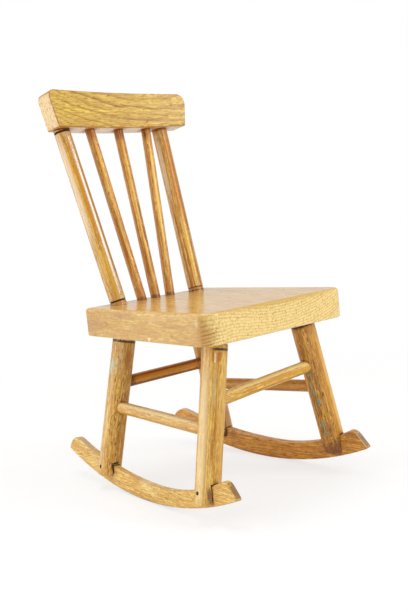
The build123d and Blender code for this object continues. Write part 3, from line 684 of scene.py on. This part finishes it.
legMarks = {
    "right_front_leg": [
        # painted sheen down the pale left side
        legStreak(-10, 160, (-0.97, -0.14, 0.22), 4.5, (0.84, 0.66, 0.36), 0.55, ragged=0.05),
        legStreak(133, 144, (-0.71, -0.69, 0.16), 1.0, drip, 0.9, soft=0.3),  # runs of varnish under the seat
        # painted highlight between the two runs
        legStreak(133, 143, (-0.60, -0.78, 0.16), 0.9, highlightCream, 0.5, soft=0.3),
        legStreak(133, 144, (-0.34, -0.93, 0.10), 1.9, drip, 0.85, soft=0.3),
        legStreak(60, 104, (-0.46, -0.88, 0.12), 1.3, ochre, 0.85, ragged=0.8, only="Fibre"),  # short brown strokes
        legStreak(68, 90, (-0.42, -0.90, 0.12), 0.9, ochre, 0.9, ragged=0.6),
        legStreak(50, 74, (-0.53, -0.84, 0.14), 1.0, ochre, 0.9, ragged=0.6),
        # painted highlight: a whitish-grey streak at the left of the middle
        legStreak(96, 130, (-0.55, -0.83, 0.14), 1.6, (0.52, 0.42, 0.26), 0.5, ragged=0.8),
        legStreak(-10, 160, (0.30, -0.95, 0.0), 2.2, (0.62, 0.35, 0.05), 0.5, ragged=0.05),
        mark((-87.4, -99.6, 24.5), (2.4, 3.0, 8.0), (0.20, 0.08, 0.05), 0.8, ragged=0.3),  # beside the slot
        # painted shade under the seat's edge
        ringAlong(145.0, 1.5, paintedGapShade, 0.9, ragged=0.3, faces=(0.10, -0.99, 0.0), faceEnds=(0.35, 0.75))],
    "right_back_leg": [
        mark((-64.5, 56.0, 119.0), (4.0, 7.0, 12.0), (0.42, 0.60, 0.50), 0.55, ragged=0.7, soft=0.9,
             grain=2.4),  # pale green smear
        # painted highlight: a pale grey streak at the upper left
        legStreak(108, 150, (-0.66, -0.75, 0.10), 1.8, (0.60, 0.60, 0.48), 0.45, soft=0.8),
        legStreak(112, 143, (-0.10, -0.99, -0.04), 2.6, (0.44, 0.15, 0.012), 0.8),
        legStreak(30, 120, (-0.30, -0.95, 0.0), 1.4, umber, 0.7, only="Fibre"),
        legStreak(15, 120, (-0.62, -0.78, 0.1), 2.0, (0.34, 0.14, 0.02), 0.6, only="Streak"),
        legStreak(-10, 160, (-0.93, 0.20, 0.2), 6.5, (0.76, 0.72, 0.54), 0.6, only="Pores"),
        legStreak(-10, 160, (-0.50, -0.86, 0.1), 6.0, (0.22, 0.08, 0.012), 0.6, only="Pores"),
        mark((-80.0, 68.0, 28.0), (6.0, 8.0, 18.0), (0.50, 0.42, 0.30), 0.5, ragged=1.0, grain=1.6),  # grey foot
        mark((-75.4, 50.4, 25.1), (4.2, 2.5, 1.5), paintedGapShade, ragged=0.2),  # painted shade in the slot's wide mouth, and down the slot below it
        mark((-78.9, 51.4, 20.5), (1.0, 2.5, 7.0), paintedGapShade, ragged=0.2),
        # painted shade under the seat's edge
        ringAlong(143.9, 1.6, paintedGapShade, 0.9, ragged=0.3)],
    "left_front_leg": [
        legStreak(-20, 170, (0.35, -0.94, 0.0), 3.2, (0.82, 0.50, 0.09), 0.65, ragged=0.05),
        legStreak(-20, 170, (-0.95, -0.10, -0.2), 5.0, (0.24, 0.08, 0.010), 0.8, only="Fibre"),
        legStreak(-20, 170, (-0.60, -0.78, -0.1), 4.0, (0.20, 0.065, 0.010), 0.9, only="Pores"),
        legStreak(-10, 140, (-0.60, -0.78, -0.1), 4.2, (0.26, 0.085, 0.012), 0.85, only="Blotch"),
        *(mark(at, size, tealPaint, strength, ragged=1.2, grain=1.2) for at, size, strength in paintFlecks),
        ringAlong(24.0, 15.0, (0.18, 0.055, 0.018), 0.85, ragged=0.5, soft=0.8),  # dark foot
        # painted shade in the gap under the seat
        ringAlong(152.6, 5.5, paintedGapShade, ragged=0.15),
        ringAlong(152.6, 7.2, paintedGapShade, ragged=0.15, faces=(-0.97, -0.15, -0.20), faceEnds=(0.70, 0.95))],
    "left_back_leg": [
        mark((74.0, 50.2, 27.0), (2.0, 3.0, 5.0), tealPaint, 0.6, ragged=1.0, grain=1.5),
        mark((73.0, 51.0, 18.0), (8.0, 8.0, 7.0), (0.07, 0.03, 0.015), 0.85),
        # painted shade under the seat's edge
        ringAlong(145.0, 1.5, paintedGapShade)],
}
for count, (name, (low, high)) in enumerate(legs.items()):
    way = Vector(high) - Vector(low)
    shoulderShade = ringAlong(way.length + 3.0, 6.4, paintedGapShade, ragged=0.0, soft=0.1, dull=1.0)  # painted shade in the gap under the seat
    dress(name, woodMaterial(name + "Varnish", low, way, seeds["legs"] + count, {**legValues, **legChanges[name]},
                             legMarks[name] + [shoulderShade]))
print("stage: legs")

stretchers = {
    "right_stretcher": ((-70.30, -88.90, 74.80), (-62.25, 57.87, 77.50)),
    "left_stretcher": ((68.31, -88.64, 83.70), (62.92, 58.08, 74.50)),
    "front_stretcher": ((-65.20, -88.23, 97.60), (63.32, -87.98, 106.00)),
    "back_stretcher": ((-57.33, 56.37, 99.50), (57.33, 56.37, 99.50)),
}
stretcherValues = {
    "early": (0.70, 0.41, 0.08), "heart": (3.0, 8.0), "spacing": 2.8, "rings": 0.35, "bands": 0.5,
    "lines": 0.5, "streakSize": (2.6, 60.0), "specular": 0.35,
}
stretcherChanges = {
    "right_stretcher": {"early": (0.86, 0.58, 0.17), "streaks": 0.3, "streakTint": (0.60, 0.31, 0.05)},
    "left_stretcher": {"early": (0.60, 0.27, 0.03), "bandTint": (0.74, 0.40, 0.06)},
    "front_stretcher": {"early": (0.88, 0.56, 0.05), "bandTint": (0.92, 0.74, 0.32), "streaks": 0.4,
                        "streakTint": (0.54, 0.22, 0.015)},
    "back_stretcher": {"early": (0.66, 0.22, 0.008), "bandTint": (0.84, 0.44, 0.07), "specular": 0.2,
                       "streakTint": (0.16, 0.040, 0.006)},
}
stretcherMarks = {
    "right_stretcher": [
        # painted highlight along the top, then painted shade along the underside
        stretcherStreak(-10, 170, (-0.60, 0.0, 0.80), 1.6, (0.93, 0.78, 0.48), 0.6),
        stretcherStreak(-10, 170, (-0.78, 0.0, -0.62), 1.8, (0.50, 0.23, 0.025), 0.7)],
    "left_stretcher": [
        # painted shade along the underside
        stretcherStreak(-10, 170, (-0.75, 0.0, -0.66), 1.8, (0.30, 0.10, 0.012), 0.7)],
    "front_stretcher": [
        # painted highlight along the top
        stretcherStreak(-10, 150, (0.0, -0.60, 0.80), 1.7, (0.94, 0.78, 0.40), 0.6),
        stretcherStreak(5, 70, (0.0, -0.96, 0.28), 1.6, (0.52, 0.19, 0.015), 0.75, only="Streak"),
        stretcherStreak(50, 135, (0.0, -0.96, 0.10), 1.4, (0.60, 0.28, 0.02), 0.7),
        # painted shade along the underside
        stretcherStreak(-10, 150, (0.0, -0.78, -0.62), 1.6, (0.50, 0.22, 0.02), 0.6)],
    "back_stretcher": [
        stretcherStreak(-10, 130, (0.0, -0.70, 0.71), 1.2, (0.30, 0.08, 0.008), 0.8, ragged=0.5),
        stretcherStreak(-10, 60, (0.0, -0.98, 0.0), 1.3, (0.80, 0.50, 0.14), 0.55, only="Band"),
        # painted shade along the underside
        stretcherStreak(-10, 130, (0.0, -0.72, -0.70), 2.0, (0.14, 0.04, 0.006), 0.75),
        stretcherStreak(-10, 130, (0.0, -0.93, 0.36), 1.5, (0.66, 0.26, 0.012), 0.7),
        ringAlong(11.0, 6.0, (0.10, 0.035, 0.008), 0.7, ragged=0.9, soft=0.6),
        ringAlong(104.0, 9.0, (0.10, 0.035, 0.008), 0.6, ragged=0.9, soft=0.6)],
}
for count, (name, (low, high)) in enumerate(stretchers.items()):
    dress(name, woodMaterial(name + "Varnish", low, Vector(high) - Vector(low), seeds["stretchers"] + count,
                             {**stretcherValues, **stretcherChanges[name]}, stretcherMarks[name]))
print("stage: stretchers")

rockers = {  # middle, way of the board, tint of its nose
    "right_rocker": ((-78.78, 0, 10), (0.04902, 0.998798, 0), (0.26, 0.14, 0.045)),
    "left_rocker": ((78.78, 0, 10), (-0.04902, 0.998798, 0), (0.28, 0.18, 0.09)),
}
rockerValues = {
    "across": (1, 0, 0),
    "early": (0.88, 0.63, 0.155), "endTint": (0.46, 0.30, 0.12), "late": (0.42, 0.21, 0.04), "heart": (10.0, -30.0),
    "spacing": 2.4, "rings": 0.35, "bands": 0.5, "lines": 0.2, "pale": 0.5, "streakSize": (3.0, 30.0),
    "ends": 0.5, "wear": 0.8, "wearPatch": 2.0, "wornTint": (0.44, 0.26, 0.09), "roughness": (0.3, 0.5),
}
rockerChanges = {
    "right_rocker": {"streakTint": (0.56, 0.31, 0.06)},
    "left_rocker": {"early": (0.88, 0.43, 0.055), "late": (0.26, 0.08, 0.012), "paleTint": (0.76, 0.40, 0.07),
                    "bandTint": (0.70, 0.37, 0.07), "streakTint": (0.36, 0.12, 0.012), "rings": 0.6,
                    "pores": 0.8, "fibreTint": (0.38, 0.14, 0.014), "poreTint": (0.24, 0.08, 0.010),
                    # pale worn edges, with a painted highlight along the top edge
                    "wornTint": (0.66, 0.50, 0.28)},
}
rockerMarks = {
    "right_rocker": [
        mark((-80.0, -2.0, 13.5), (6.0, 11.0, 4.6), (0.84, 0.68, 0.34), 0.55, ragged=1.0, grain=2.4),  # bare patches
        mark((-80.0, -16.0, 9.0), (6.0, 6.0, 3.0), (0.84, 0.68, 0.34), 0.45, ragged=1.0)],
    "left_rocker": [
        mark((75.0, 30.0, 22.0), (3.0, 2.0, 3.0), (0.20, 0.07, 0.015), 0.7, ragged=0.7),  # dark knots
        mark((74.0, 42.0, 20.0), (5.0, 5.0, 6.0), (0.20, 0.07, 0.015), 0.6, ragged=0.8)],
}
bareTail = mark((78.78, 128.0, 40.0), (12.0, 26.0, 22.0), (0.86, 0.56, 0.14), 0.55, ragged=0.4, soft=0.8)
for count, (name, (middle, way, noseTint)) in enumerate(rockers.items()):
    nose = mark((middle[0], -126.0, 34.0), (16.0, 9.0, 13.0), noseTint, ragged=0.6, grain=1.4, dull=0.8,
                faces=(0, -0.70, 0.70), faceEnds=(0.75, 0.92))
    tail = mark((middle[0], 112.0, 36.0), (12.0, 30.0, 16.0), (0.44, 0.38, 0.28), 0.85, ragged=1.0, grain=1.6,
                dull=0.8, faces=(0, -0.2, 0.95), faceEnds=(0.5, 0.8))
    marks = [*rockerMarks[name], nose, tail]
    if name == "left_rocker":
        marks.append(bareTail)
    dress(name, woodMaterial(name + "Varnish", middle, way, seeds["rockers"] + count,
                             {**rockerValues, **rockerChanges[name]}, marks, rockerValues["across"]))
print("stage: rockers")

nailValues = {
    "iron": (0.035, 0.025, 0.02), "rust": (0.16, 0.07, 0.03), "patches": 1600.0,  # to the metre
    "metallic": 0.6, "roughEnds": (0.2, 0.8), "roughness": (0.45, 0.8), "pitting": 0.4, "pitDepth": 0.0002,
}


def nailMaterial(values):
    material, tree = newMaterial("nailIron")
    coord = addNode(tree, "ShaderNodeTexCoord").outputs["Object"]
    noise = noiseOf(tree, vecCalc(tree, "SCALE", coord, scale=values["patches"]), detail=4.0)["Fac"]
    color = mixColors(tree, noise, (*values["iron"], 1), (*values["rust"], 1))
    bump = addNode(tree, "ShaderNodeBump", {
        "Height": noise, "Strength": values["pitting"], "Distance": values["pitDepth"]}).outputs[0]
    iron = addNode(tree, "ShaderNodeBsdfPrincipled", {
        "Base Color": color, "Metallic": values["metallic"], "Normal": bump,
        "Roughness": remap(tree, noise, *values["roughEnds"], *values["roughness"])})
    addNode(tree, "ShaderNodeOutputMaterial", {0: iron.outputs[0]})
    return material


nail = nailMaterial(nailValues)
for name in nodes:
    if name.endswith("_nail"):
        dress(name, nail)
print("stage: nails;", len(nodes), "pieces have their finish")
